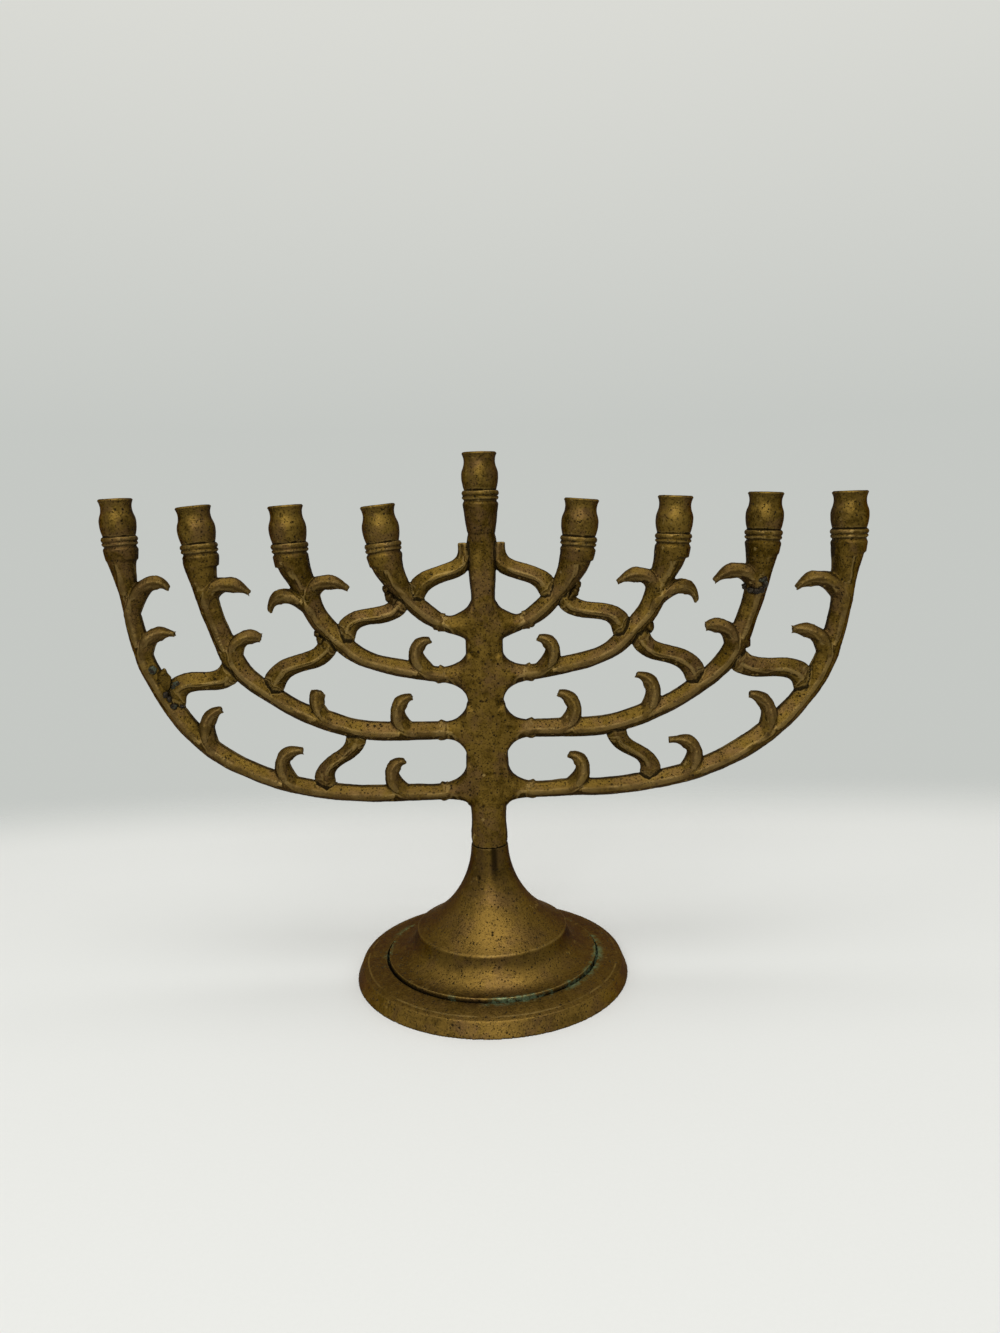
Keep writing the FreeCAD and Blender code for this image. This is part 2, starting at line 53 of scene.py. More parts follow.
SLOTS = {part["node"]: part["material_slot"] for part in frame["record"]["subparts"]}
BODY = {node: body for body, nodes in frame["record"]["behaviour"]["bodies"].items() for node in nodes}
MM = 0.001


# Shader helpers

class Nodes:
    """A node tree, with one short call for each kind of node."""

    def __init__(self, tree):
        self.tree = tree
        self.place = self.node("ShaderNodeTexCoord")

    def node(self, kind, **settings):
        made = self.tree.nodes.new(kind)
        for key, value in settings.items():
            setattr(made, key, value)
        return made

    def feed(self, socket, value):
        if isinstance(value, bpy.types.NodeSocket):
            self.tree.links.new(value, socket)
        else:
            socket.default_value = value

    def axis(self, vector, index):
        made = self.node("ShaderNodeSeparateXYZ")
        self.feed(made.inputs[0], vector)
        return made.outputs[index]

    def ramp(self, value, start, end, low=0.0, high=1.0, shape="SMOOTHSTEP"):
        """Runs from low at start to high at end; start may be above end."""
        made = self.node("ShaderNodeMapRange", interpolation_type=shape)
        if start > end:
            start, end, low, high = end, start, high, low
        for name, number in (("From Min", start), ("From Max", end), ("To Min", low), ("To Max", high)):
            self.feed(made.inputs[name], number)
        self.feed(made.inputs["Value"], value)
        return made.outputs["Result"]

    def band(self, value, begin, full, until, end):
        """0 up to begin, 1 from full on until the fall begins, and 0 again from end on."""
        return self.times(self.ramp(value, begin, full), self.ramp(value, end, until))

    def math(self, operation, first, second=0.0):
        made = self.node("ShaderNodeMath", operation=operation)
        self.feed(made.inputs[0], first)
        self.feed(made.inputs[1], second)
        return made.outputs[0]

    def plus(self, first, second):
        return self.math("ADD", first, second)

    def minus(self, first, second):
        return self.math("SUBTRACT", first, second)

    def times(self, result, *others):
        for other in others:
            result = self.math("MULTIPLY", result, other)
        return result

    def most(self, result, *others):
        for other in others:
            result = self.math("MAXIMUM", result, other)
        return result

    def spread(self, value, reach):
        """A noise that runs from 0 to 1, moved to lie evenly about 0."""
        return self.times(self.minus(value, 0.5), reach)

    def mix(self, share, first, second):
        made = self.node("ShaderNodeMix", data_type="RGBA")
        self.feed(made.inputs[0], share)
        for socket, value in ((made.inputs[6], first), (made.inputs[7], second)):
            self.feed(socket, (*value, 1.0) if isinstance(value, tuple) else value)
        return made.outputs[2]


class Shader(Nodes):
    """A material on the Principled shader, with patterns that stay at one place on the object."""

    def __init__(self, name):
        self.material = bpy.data.materials.new(name)
        self.material.use_nodes = True
        super().__init__(self.material.node_tree)
        self.surface = self.tree.nodes["Principled BSDF"]

    def stretched(self, scale, shift=(0.0, 0.0, 0.0)):
        made = self.node("ShaderNodeMapping")
        self.feed(made.inputs["Vector"], self.place.outputs["Object"])
        self.feed(made.inputs["Scale"], scale)
        self.feed(made.inputs["Location"], shift)
        return made.outputs["Vector"]

    def noise(self, scale, detail=3.0, rough=0.5, vector=None, twist=0.0):
        made = self.node("ShaderNodeTexNoise")
        self.feed(made.inputs["Scale"], scale)
        self.feed(made.inputs["Detail"], detail)
        self.feed(made.inputs["Roughness"], rough)
        self.feed(made.inputs["Distortion"], twist)
        self.feed(made.inputs["Vector"], self.place.outputs["Object"] if vector is None else vector)
        return made.outputs["Fac"]

    def pits(self, scale, size, share):
        """Round spots around some of a lattice's points: 1 in a spot, 0 outside."""
        cells = self.node("ShaderNodeTexVoronoi")
        self.feed(cells.inputs["Scale"], scale)
        self.feed(cells.inputs["Vector"], self.place.outputs["Object"])
        chance = self.node("ShaderNodeSeparateColor")
        self.feed(chance.inputs[0], cells.outputs["Color"])
        near = self.ramp(cells.outputs["Distance"], size, size * 0.4)
        return self.times(near, self.math("LESS_THAN", chance.outputs[0], share))

    def spot(self, centre, core, reach):
        """1 within core of a point and 0 from reach on, all in millimetres."""
        away = self.node("ShaderNodeVectorMath", operation="DISTANCE")
        self.feed(away.inputs[0], self.place.outputs["Object"])
        self.feed(away.inputs[1], tuple(part * MM for part in centre))
        return self.ramp(away.outputs["Value"], reach * MM, core * MM)

    def length(self, vector):
        made = self.node("ShaderNodeVectorMath", operation="LENGTH")
        self.feed(made.inputs[0], vector)
        return made.outputs["Value"]

    def crevice(self, reach):
        made = self.node("ShaderNodeAmbientOcclusion", samples=6)
        self.feed(made.inputs["Distance"], reach)
        return self.minus(1.0, made.outputs["AO"])

    def attribute(self, name):
        return self.node("ShaderNodeAttribute", attribute_name=name).outputs["Fac"]

    def upright(self):
        """1 where the surface faces up, -1 where it faces down."""
        return self.axis(self.place.outputs["Normal"], 2)

    def frontal(self):
        """1 where the surface faces the front or the back, 0 on the sides, the top and below."""
        return self.math("ABSOLUTE", self.axis(self.place.outputs["Normal"], 1))

    def bump(self, *layers):
        """Each layer is (height, depth in metres)."""
        normal = None
        for height, depth in layers:
            made = self.node("ShaderNodeBump")
            self.feed(made.inputs["Distance"], depth)
            self.feed(made.inputs["Height"], height)
            if normal is not None:
                self.feed(made.inputs["Normal"], normal)
            normal = made.outputs["Normal"]
        self.feed(self.surface.inputs["Normal"], normal)

    def finish(self, colour, metal, rough):
        self.feed(self.surface.inputs["Base Color"], colour)
        self.feed(self.surface.inputs["Metallic"], metal)
        self.feed(self.surface.inputs["Roughness"], rough)
        return self.material


# Brass and what lies on it, with painted shade and painted highlights

OLIVE = (0.056, 0.032, 0.0035)
# Dark brown for specks, the cups' lips and the foot's neck, and also for painted shade on sides, undersides,
# the arms' creases and outer edges
BROWN = (0.024, 0.014, 0.0030)
# Near black for pits, soot and stains, and also for painted shade in corners, in hollows and along the outline
SOOT_AND_SHADE = (0.007, 0.0045, 0.002)
TAN = (0.125, 0.070, 0.028)
# Bright brass for worn edges, and for painted highlights on the arms' crests, beside joints and on the foot's
# turned and rim lines
WEAR_AND_HIGHLIGHT = (0.36, 0.245, 0.085)
VERDIGRIS = (0.15, 0.20, 0.11)
LEAF = (0.090, 0.054, 0.0165)
BRASS_SHEEN = (0.34, 0.26, 0.13, 1.0)


def mottled_with_top_highlight(skin, mottle, gold, olive, light):
    """Olive and gold in patches, with rosy ones among them, and a painted highlight of gold where the surface
    faces up.
    """
    blend = skin.plus(skin.times(skin.noise(38.0, 3.0, 0.55), 0.55), skin.times(mottle, 0.65))
    colour = skin.mix(skin.ramp(blend, light - 0.03, light + 0.20), olive, gold)
    rosy = skin.ramp(skin.noise(105.0, 4.0, 0.6, twist=0.4), 0.44, 0.64, 0.0, 0.7)
    colour = skin.mix(rosy, colour, TAN)
    # Painted highlight: more gold where the surface faces up, towards the lamps
    return skin.mix(skin.ramp(skin.upright(), 0.25, 0.8, 0.0, 0.35), colour, gold)


def painted_bevels_and_leaves(skin, colour, mottle):
    """Painted light on the arms' bevels: painted shade in the crease with a painted highlight on the crest
    beside it, painted shade along the outer edge, and leaves of a duller colour.
    """
    across = skin.plus(skin.attribute("span"), skin.spread(skin.noise(130.0, 3.0), 0.5))
    leaf = skin.attribute("leaf")
    colour = skin.mix(skin.times(leaf, skin.ramp(mottle, 0.66, 0.40, 0.2, 0.7)), colour, LEAF)
    kept = skin.times(skin.ramp(skin.noise(85.0, 2.0), 0.30, 0.48), skin.minus(1.0, skin.times(leaf, 0.5)))
    crest = skin.band(across, 0.35, 0.40, 0.44, 0.54)
    crease = skin.band(across, 0.26, 0.31, 0.32, 0.37)
    # Painted highlight on the crest and painted shade in the crease, in patches
    colour = skin.mix(skin.times(crest, skin.times(kept, 0.38)), colour, WEAR_AND_HIGHLIGHT)
    colour = skin.mix(skin.times(crease, skin.times(kept, 0.85)), colour, BROWN)
    # Painted shade along the outer, lower edge
    return skin.mix(skin.ramp(across, 0.22, 0.02, 0.0, 0.55), colour, BROWN)


def joint_of(skin, mottle):
    """How near a joint is, from 0 to 1, with a ragged outline and some clean stretches."""
    ragged = skin.plus(skin.attribute("seam"), skin.spread(mottle, 0.5))
    return skin.minus(ragged, skin.ramp(skin.noise(240.0, 2.0), 0.42, 0.62, 0.0, 0.35))


def brass(name, gold, olive=OLIVE, brown=BROWN, side=0.9, under=0.7, light=0.52, rough=0.46, wear_and_highlight=0.5,
          fold=False, extra=None):
    """Old cast brass, olive and gold in patches, with pits and dirty joints: a painted highlight where it faces
    up, painted shade on its sides, below and along its outline, and painted shade with some grime in its
    corners and hollows.

    side and under say how brown the painted shade makes its sides and its underside, side also how dark its
    painted outline is, light where its mottling turns to gold, and wear_and_highlight how bright its edges are,
    worn and with a painted highlight. fold adds painted shade and a painted highlight along the arms' bevels,
    and the leaves' colour, and extra a piece's own marks."""
    skin = Shader(name)
    mottle = skin.noise(330.0, 6.0, 0.68)
    speck = skin.noise(1500.0, 3.0, 0.6)
    edge = skin.node("ShaderNodeNewGeometry").outputs["Pointiness"]
    colour = mottled_with_top_highlight(skin, mottle, gold, olive, light)

    # Painted shade: brown where the surface faces neither front nor back, and on the underside
    flank = skin.times(skin.ramp(skin.frontal(), 0.70, 0.22), side)
    below = skin.times(skin.ramp(skin.upright(), -0.12, -0.6), under)
    shade = skin.times(skin.most(flank, below), skin.ramp(mottle, 0.2, 0.62, 0.8, 1.0))
    colour = skin.mix(shade, colour, brown)
    # Painted shade: a dark outline where the surface turns edge-on to the front and back
    colour = skin.mix(skin.times(skin.ramp(skin.frontal(), 0.36, 0.08), side * 0.6), colour, SOOT_AND_SHADE)

    colour = skin.mix(skin.ramp(speck, 0.54, 0.64, 0.0, 0.85), colour, brown)
    colour = skin.mix(skin.ramp(speck, 0.44, 0.34, 0.0, 0.55), colour, gold)
    pit = skin.most(skin.pits(900.0, 0.34, 0.30), skin.pits(430.0, 0.26, 0.22),
                    skin.ramp(skin.noise(620.0, 2.0, 0.5), 0.68, 0.75))
    colour = skin.mix(skin.times(pit, 0.9), colour, SOOT_AND_SHADE)
    # Bright convex edges: worn, and a painted highlight
    colour = skin.mix(skin.ramp(edge, 0.515, 0.57, 0.0, wear_and_highlight), colour, WEAR_AND_HIGHLIGHT)
    if fold:
        colour = painted_bevels_and_leaves(skin, colour, mottle)

    joint = joint_of(skin, mottle)
    # Painted highlight in a thin line beside each joint
    colour = skin.mix(skin.times(skin.band(joint, 0.02, 0.22, 0.26, 0.42), 0.2), colour, WEAR_AND_HIGHLIGHT)
    # Painted shade, with some grime, in corners and hollows, and grime on the joints
    corner = skin.ramp(skin.plus(skin.crevice(2.0 * MM), skin.times(mottle, 0.3)), 0.34, 0.72)
    hollow = skin.ramp(edge, 0.485, 0.43, 0.0, 0.8)
    dirt_and_shade = skin.most(corner, hollow, skin.ramp(joint, 0.36, 0.70, 0.0, 0.9))
    colour = skin.mix(dirt_and_shade, colour, SOOT_AND_SHADE)
    if extra:
        colour = extra(skin, colour)

    dull = skin.most(dirt_and_shade, pit, skin.times(shade, 0.4))
    metal = skin.minus(1.0, skin.times(dull, 0.6))
    roughness = skin.plus(skin.ramp(mottle, 0.3, 0.7, rough - 0.06, rough + 0.14), skin.times(dull, 0.25))
    skin.bump((mottle, 0.12 * MM), (speck, 0.06 * MM), (skin.times(pit, -1.0), 0.12 * MM))
    skin.surface.inputs["Specular Tint"].default_value = BRASS_SHEEN
    skin.feed(skin.surface.inputs["Specular IOR Level"], skin.ramp(dirt_and_shade, 0.0, 0.8, 0.5, 0.12))
    return skin.finish(colour, metal, roughness)


def dark_lip(skin, colour):
    """A few larger pits, and brown on a cup's lip and floor."""
    colour = skin.mix(skin.times(skin.pits(250.0, 0.15, 0.25), 0.9), colour, SOOT_AND_SHADE)
    return skin.mix(skin.ramp(skin.upright(), 0.72, 0.92, 0.0, 0.7), colour, BROWN)


# The foot's marks and painted highlights, in millimetres: for a ring, the radii where it begins, is full,
# starts to fall and ends
TURNED_LINE = (28.05, 28.35, 28.6, 28.9)
DARK_BAND = (28.6, 29.0, 29.4, 31.5)
GREEN_RING = (38.4, 39.9, 41.0, 43.6)
RIM_LINE = (47.6, 47.9, 48.2, 48.5)
RING_WANDER = 0.6
GREEN_HEIGHTS = (3.0, 5.0)
NECK_HEIGHTS = (30.0, 44.0)
STREAK_HEIGHTS = (37.0, 44.0)
STREAK_X = 1.6
STREAK_CORE, STREAK_REACH = 0.4, 1.9
HOLE = (-4.6, -8.0, 40.1)
HOLE_CORE, HOLE_REACH = 0.6, 1.1


def turned_marks_and_highlights(skin, colour):
    """A painted highlight on the bell's turned line and on the ring's rim line, a dark band, its dark neck with
    a streak and a hole, and the groove's verdigris.
    """
    wander = skin.spread(skin.noise(90.0, 2.0), RING_WANDER * MM)
    radius = skin.plus(skin.length(skin.stretched((1.0, 1.0, 0.0))), wander)
    east = skin.axis(skin.place.outputs["Object"], 0)
    height = skin.axis(skin.place.outputs["Object"], 2)
    patchy = skin.ramp(skin.noise(120.0, 3.0), 0.35, 0.6)

    def ring(radii):
        return skin.band(radius, *(limit * MM for limit in radii))

    def above(heights, low=0.0, high=1.0):
        return skin.ramp(height, heights[0] * MM, heights[1] * MM, low, high)

    colour = skin.mix(skin.times(ring(DARK_BAND), 0.45), colour, BROWN)
    # Painted highlight on the turned line, in patches
    colour = skin.mix(skin.times(ring(TURNED_LINE), skin.times(patchy, 0.18)), colour, WEAR_AND_HIGHLIGHT)
    colour = skin.mix(above(NECK_HEIGHTS, 0.0, 0.55), colour, BROWN)
    aside = skin.math("ABSOLUTE", skin.minus(skin.plus(east, wander), STREAK_X * MM))
    streak = skin.ramp(aside, STREAK_REACH * MM, STREAK_CORE * MM)
    colour = skin.mix(skin.times(streak, above(STREAK_HEIGHTS, 0.0, 0.8)), colour, SOOT_AND_SHADE)
    colour = skin.mix(skin.spot(HOLE, HOLE_CORE, HOLE_REACH), colour, SOOT_AND_SHADE)
    # Painted highlight on the ring's rim line, in patches
    colour = skin.mix(skin.times(ring(RIM_LINE), skin.times(patchy, 0.35)), colour, WEAR_AND_HIGHLIGHT)
    green = skin.times(ring(GREEN_RING), skin.ramp(skin.noise(75.0, 5.0, 0.65), 0.50, 0.62),
                       skin.ramp(skin.noise(600.0, 4.0, 0.6), 0.36, 0.58), above(GREEN_HEIGHTS))
    return skin.mix(skin.times(green, 0.85), colour, VERDIGRIS)


# Braze and steel

BURNT = (0.016, 0.011, 0.006)
ASH = (0.075, 0.060, 0.036)
GREEN_ASH = (0.055, 0.062, 0.038)
RUST = (0.16, 0.07, 0.03)


def solder(name, green):
    """Burnt braze: near black, with grey beads and its share of verdigris."""
    skin = Shader(name)
    mottle = skin.noise(900.0, 5.0, 0.7)
    colour = skin.mix(skin.ramp(mottle, 0.50, 0.70), BURNT, ASH)
    grown = skin.ramp(skin.noise(500.0, 4.0, 0.6), 0.70 - green, 0.82 - green)
    colour = skin.mix(grown, colour, GREEN_ASH)
    skin.bump((mottle, 0.2 * MM))
    skin.surface.inputs["Specular IOR Level"].default_value = 0.5
    return skin.finish(colour, 0.8, skin.ramp(mottle, 0.3, 0.7, 0.28, 0.62))


def steel(name, tone):
    """Dull steel with turned streaks and a little rust."""
    skin = Shader(name)
    mottle = skin.noise(700.0, 5.0, 0.6)
    streak = skin.noise(300.0, 3.0, 0.5, skin.stretched((1.0, 9.0, 1.0)))
    colour = skin.mix(skin.ramp(mottle, 0.4, 0.7), tone, tuple(0.6 * part for part in tone))
    colour = skin.mix(skin.ramp(skin.noise(450.0, 4.0, 0.7), 0.62, 0.72, 0.0, 0.6), colour, RUST)
    skin.bump((streak, 0.03 * MM), (mottle, 0.02 * MM))
    return skin.finish(colour, 0.95, skin.ramp(mottle, 0.3, 0.7, 0.32, 0.5))


MATERIALS = {
    "branch_brass": brass("branch_brass", gold=(0.160, 0.097, 0.0180), fold=True),
    "cup_brass": brass("cup_brass", gold=(0.175, 0.108, 0.021), olive=(0.070, 0.042, 0.007), side=0.6,
                       light=0.49, rough=0.42, wear_and_highlight=0.25, extra=dark_lip),
    "foot_brass": brass("foot_brass", gold=(0.188, 0.112, 0.0235), olive=(0.096, 0.057, 0.0115),
                        brown=(0.045, 0.027, 0.008), side=0.35, under=0.4, light=0.48, rough=0.40, wear_and_highlight=0.3,
                        extra=turned_marks_and_highlights),
    "solder": solder("solder", 0.1),
    "verdigris_braze": solder("verdigris_braze", 0.3),
    "screw_steel": steel("screw_steel", (0.38, 0.36, 0.33)),
    "washer_steel": steel("washer_steel", (0.42, 0.40, 0.37)),
}


# Mesh helpers

def vectors(items, field):
    """One row of three numbers for each vertex or normal."""
    flat = np.zeros(len(items) * 3)
    items.foreach_get(field, flat)
    return flat.reshape(-1, 3)


def points_of(mesh):
    return vectors(mesh.vertices, "co")


def normals_of(mesh):
    return vectors(mesh.vertex_normals, "vector")


def move(mesh, points):
    mesh.vertices.foreach_set("co", points.ravel())
    mesh.update()


def mark(mesh, name, values):
    """Keeps a number for each point, which the shaders read by name."""
    mesh.attributes.new(name, "FLOAT", "POINT").data.foreach_set("value", values)


def tree_of(mesh):
    return BVHTree.FromPolygons([vertex.co for vertex in mesh.vertices],
                                [face.vertices[:] for face in mesh.polygons])


def remeshed(mesh, voxel, passes):
    """The mesh as even small quads, smoothed: a casting's soft edges."""
    source = bpy.data.objects.new("source", mesh)
    bpy.context.scene.collection.objects.link(source)
    remesh = source.modifiers.new("voxels", "REMESH")
    remesh.mode = "VOXEL"
    remesh.voxel_size = voxel
    for index in range(passes):
        for factor in (0.55, -0.5):
            soften = source.modifiers.new(f"soften_{index}_{factor}", "SMOOTH")
            soften.factor = factor
            soften.iterations = 1
    result = bpy.data.meshes.new_from_object(source.evaluated_get(bpy.context.evaluated_depsgraph_get()))
    bpy.data.objects.remove(source)
    return result


def add_piece(name, mesh, material, body):
    piece = bpy.data.objects.new(name, mesh)
    bpy.context.scene.collection.objects.link(piece)
    mesh.materials.clear()
    mesh.materials.append(MATERIALS[material])
    mesh.polygons.foreach_set("use_smooth", [True] * len(mesh.polygons))
    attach(piece, body)
    return piece


# The cast skin: where a point lies on its piece and beside the others

TREES = {node: tree_of(carried.data) for node, carried in NODES.items()}
RAYS = [Vector((math.sin(math.pi * step / 6), 0, math.cos(math.pi * step / 6))) for step in range(6)]

# A point is on the front or the back where its normal has more than this along Y
FACING = 0.25
# How deep below a face and below a side the width is measured, in millimetres
FACE_DEPTH, SIDE_DEPTH = 0.9, 0.3
# How far below its cup's box an arm's turned head goes, in millimetres
HEAD_BELOW_CUP = 4.5
# The distance from the axis from which, and over which, the stem takes on the painted shade and highlight of
# its roots' bevels, in millimetres
BEVEL_FROM, BEVEL_OVER = 9, 4
# The spans that stand for no bevel and for a head, and the width that stands for no arm, in metres
PLAIN_SPAN, HEAD_SPAN = 0.7, 0.9
NO_ARM = 1.0


def narrowest(tree, start):
    """The shortest line across an arm through a point: the share of it on the outer side, and its length."""
    inward = Vector((-0.5 if start.x > 0 else 0.5, 0, 1))
    share, width = 0.5, NO_ARM
    for ray in RAYS:
        way = ray if ray.dot(inward) > 0 else -ray
        ahead = tree.ray_cast(start, way)[3]
        behind = tree.ray_cast(start, -way)[3]
        if ahead is not None and behind is not None and ahead + behind < width:
            width = ahead + behind
            share = behind / width
    return share, width


def spans(node, mesh):
    """Marks how far across an arm or a bar each point of its faces lies: 0 at the outer edge, 1 at the inner.

    Gives back how wide it is there."""
    points = points_of(mesh)
    normals = normals_of(mesh)
    tree = TREES[node]
    share = np.full(len(points), 0.5)
    width = np.full(len(points), NO_ARM)
    fade = np.ones(len(points))
    if node == "stem":
        fade = np.clip((np.abs(points[:, 0]) / MM - BEVEL_FROM) / BEVEL_OVER, 0, 1)
    on_face = np.abs(normals[:, 1]) > FACING
    for index in np.nonzero(on_face & (fade > 0))[0]:
        start = Vector(points[index] - normals[index] * FACE_DEPTH * MM)
        share[index], width[index] = narrowest(tree, start)
    for index in np.nonzero(~on_face)[0]:
        start = Vector(points[index] - normals[index] * SIDE_DEPTH * MM)
        away = tree.ray_cast(start, -Vector(normals[index]))[3]
        width[index] = NO_ARM if away is None else away + SIDE_DEPTH * MM
    if node.startswith("arm_"):
        cup = node.replace("arm", "cup")
        head = points[:, 2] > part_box(cup)[0].z - HEAD_BELOW_CUP * MM
        share[head] = HEAD_SPAN
        width[head] = NO_ARM
    mark(mesh, "span", PLAIN_SPAN + (share - PLAIN_SPAN) * fade)
    return width


# Leaves, in millimetres: narrower than LEAF_WIDTH, and how far they fill out at each width
LEAF_WIDTH, LEAF_BLEND = 5.3, 1.3
LEAF_SWELL = 0.8
LEAF_FILL = ((2.4, 0.2), (3.4, 0.7), (4.2, 1), (5.3, 0))


def filled(mesh, width):
    """The leaves, slimmer than the arm, swell in the arm's own plane and are marked for their colour."""
    fill = np.interp(width / MM, *zip(*LEAF_FILL))
    swell = LEAF_SWELL * MM * fill[:, None] * normals_of(mesh)
    swell[:, 1] = 0
    move(mesh, points_of(mesh) + swell)
    mark(mesh, "leaf", np.clip((LEAF_WIDTH * MM - width) / (LEAF_BLEND * MM), 0, 1))


# The turned heads under the cups, in millimetres: at each depth below the cup's seat, how dark the grooves are
# and how far the beads stand out
SEATS = {mount["name"].replace("candle", "arm").replace("arm_middle", "stem"): mount
         for mount in frame["record"]["mounts"] if mount["kind"] == "bore"}
SEAT_DROP = 7.85
HEAD_RADIUS = 8.5
HEAD_FROM, HEAD_TO = -0.5, 7
OFF_HEAD = 99
GROOVES = ((1.6, 0), (1.95, 0.62), (2.3, 0), (3.1, 0), (3.5, 0.55), (3.9, 0))
BEADS = ((0, 0), (0.3, 0.14), (1.0, 0.22), (1.7, 0.16), (1.95, -0.22), (2.2, 0.10), (2.7, 0.18), (3.1, 0.08),
         (3.5, -0.20), (4.2, 0))


def below_cup(node, points):
    """How far below its cup's seat each point of a head lies, wavy as cast, and OFF_HEAD elsewhere."""
    away = points - np.array(SEATS[node]["pos_m"])
    axis = np.array(SEATS[node]["axis"])
    down = -away @ axis / MM - SEAT_DROP
    off = np.linalg.norm(away + np.outer(down + SEAT_DROP, axis) * MM, axis=1) > HEAD_RADIUS * MM
    wave = np.array([0.5 * noise.noise(Vector(point) * 120) for point in points])
    return np.where(off | (down < HEAD_FROM) | (down > HEAD_TO), OFF_HEAD, down + wave)


# How far dirt reaches from a joint, in millimetres: around cups and bars, and elsewhere
WIDE_REACH, REACH = 1.1, 0.7


def seams(node, mesh):
    """Marks and gives back how near each point is to a piece joined on: 1 at the joint, 0 out of reach."""
    points = points_of(mesh)
    near = np.zeros(len(points))
    for other, tree in TREES.items():
        kinds = {node.split("_")[0], other.split("_")[0]}
        if other == node or kinds <= {"stem", "arm"}:
            continue
        reach = (WIDE_REACH if kinds & {"scroll", "cup"} else REACH) * MM
        low, high = (np.array(corner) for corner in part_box(other))
        inside = np.all((points > low - reach) & (points < high + reach), axis=1)
        for index in np.nonzero(inside)[0]:
            away = tree.find_nearest(Vector(points[index]), reach)[3]
            if away is not None:
                near[index] = max(near[index], 1 - away / reach)
    if node in SEATS:
        near = np.maximum(near, np.interp(below_cup(node, points), *zip(*GROOVES)))
    mark(mesh, "seam", near)
    return near


# A smoothed point may lie SLACK from the carried surface; it is wholly brought back SLACK_BLEND further on
SLACK, SLACK_BLEND = 0.1, 0.2
TIP_REACH = 1.5


def restored(node, mesh):
    """Brings back what smoothing took from the leaves' thin tips, up to the carried piece's surface."""
    tree = TREES[node]
    points = points_of(mesh)
    for index, point in enumerate(points):
        place, _, _, away = tree.find_nearest(Vector(point), TIP_REACH * MM)
        if place is not None and away > SLACK * MM:
            points[index] += (np.array(place) - point) * min(1.0, (away / MM - SLACK) / SLACK_BLEND)
    move(mesh, points)


# The arms' cut ends: their distance from the axis, how far each goes into the other, and its taper
ROOT = 15 * MM
LAP = 1.0 * MM
TAPER = 0.07
LAP_STRETCH = 1.5 * MM
ROOT_REACH = 7 * MM
# Where an arm's slope at its cut end is measured, in millimetres from the cut
SLOPE_FROM, SLOPE_TO = 0.3, 2.0


def root(node):
    """The side, height and slope of an arm where it is cut from the stem."""
    points = points_of(NODES[node].data)
    cut = points[np.abs(points[:, 0]) < ROOT + 0.02 * MM]
    side = np.sign(cut[0, 0])
    height = (cut[:, 2].min() + cut[:, 2].max()) / 2
    middles = []
    for out in (SLOPE_FROM, SLOPE_TO):
        across = side * (ROOT + out * MM)
        faces = [TREES[node].ray_cast(Vector((across, 0, height + way * 12 * MM)), Vector((0, 0, -way)))[0]
                 for way in (1, -1)]
        middles.append(sum(face.z for face in faces) / 2)
    return side, height, (middles[1] - middles[0]) / ((SLOPE_TO - SLOPE_FROM) * MM)


ROOTS = {node: root(node) for node in NODES if node.startswith("arm_")}


def lapped(node, mesh):
    """Carries an arm's cut end into the stem and the stem's into the arm, so that no cut shows there."""
    points = points_of(mesh)
    across = np.abs(points[:, 0])
    outward = 1 if node == "stem" else -1
    share = np.clip(1 - (ROOT - across) * outward / LAP_STRETCH, 0, 1)
    for side, height, slope in (ROOTS.values() if node == "stem" else [ROOTS[node]]):
        near = (points[:, 0] * side > 0) & (np.abs(points[:, 2] - height) < ROOT_REACH)
        middle = height + slope * (across[near] - ROOT)
        rise = outward * slope * LAP * share[near]
        points[near, 2] += rise - TAPER * (points[near, 2] - middle) * share[near]
        points[near, 1] *= 1 - TAPER * share[near]
        points[near, 0] += outward * side * LAP * share[near]
    move(mesh, points)


# By kind of node: the voxel and how often it is smoothed, how high its waves and its grain stand, how far its
# joined faces go in, and how deep the groove beside them is, in millimetres but for the passes
Cast = namedtuple("Cast", "voxel passes swell grain joined groove")
CAST = {
    "stem": Cast(0.40, 5, 0.20, 0.06, 0.0, 0.5),
    "arm": Cast(0.40, 5, 0.20, 0.06, 0.0, 0.5),
    "scroll": Cast(0.36, 6, 0.20, 0.07, 0.5, 1.2),
    "cup": Cast(0.25, 1, 0.09, 0.035, 0.35, 0.0),
    "foot": Cast(0.36, 1, 0.05, 0.015, 0.0, 0.0),
}
# Waves and grains to the metre, and how far the waves stand out more than they go in
SWELL_SCALE, GRAIN_SCALE, SWELL_BIAS = 170, 850, 0.35
# From this nearness on, a point is on the joined face itself
ON_JOINT = 0.9
# Each dent's place, reach and depth, in millimetres
DENTS = {
    "foot_ring": [((22.0, -47.0, 4.5), 2.2, 0.6)],
    "foot_dome": [(HOLE, 1.2, 0.7)],
}


def weather(node, mesh, cast, low, high, near):
    """Uneven as cast, the same at one place on every piece, with its own dents, kept between two corners.

    Its joined faces go a little into their neighbours, and a shallow groove runs beside them."""
    points = points_of(mesh)
    swell = cast.swell * MM
    grain = cast.grain * MM
    lift = np.array([swell * (noise.noise(Vector(point) * SWELL_SCALE) + SWELL_BIAS)
                     + grain * noise.noise(Vector(point) * GRAIN_SCALE) for point in points])
    beside = 0.5 * cast.groove * near * (1 - near) * (near < ON_JOINT)
    lift += MM * (cast.joined * (near > ON_JOINT) - beside)
    if node in SEATS:
        lift += MM * np.interp(below_cup(node, points), *zip(*BEADS))
    for place, reach, depth in DENTS.get(node, ()):
        away = np.linalg.norm(points - np.array(place) * MM, axis=1) / (reach * MM)
        lift -= depth * MM * np.clip(1 - away ** 2, 0, None) ** 1.5
    move(mesh, np.clip(points + normals_of(mesh) * lift[:, None], low, high))


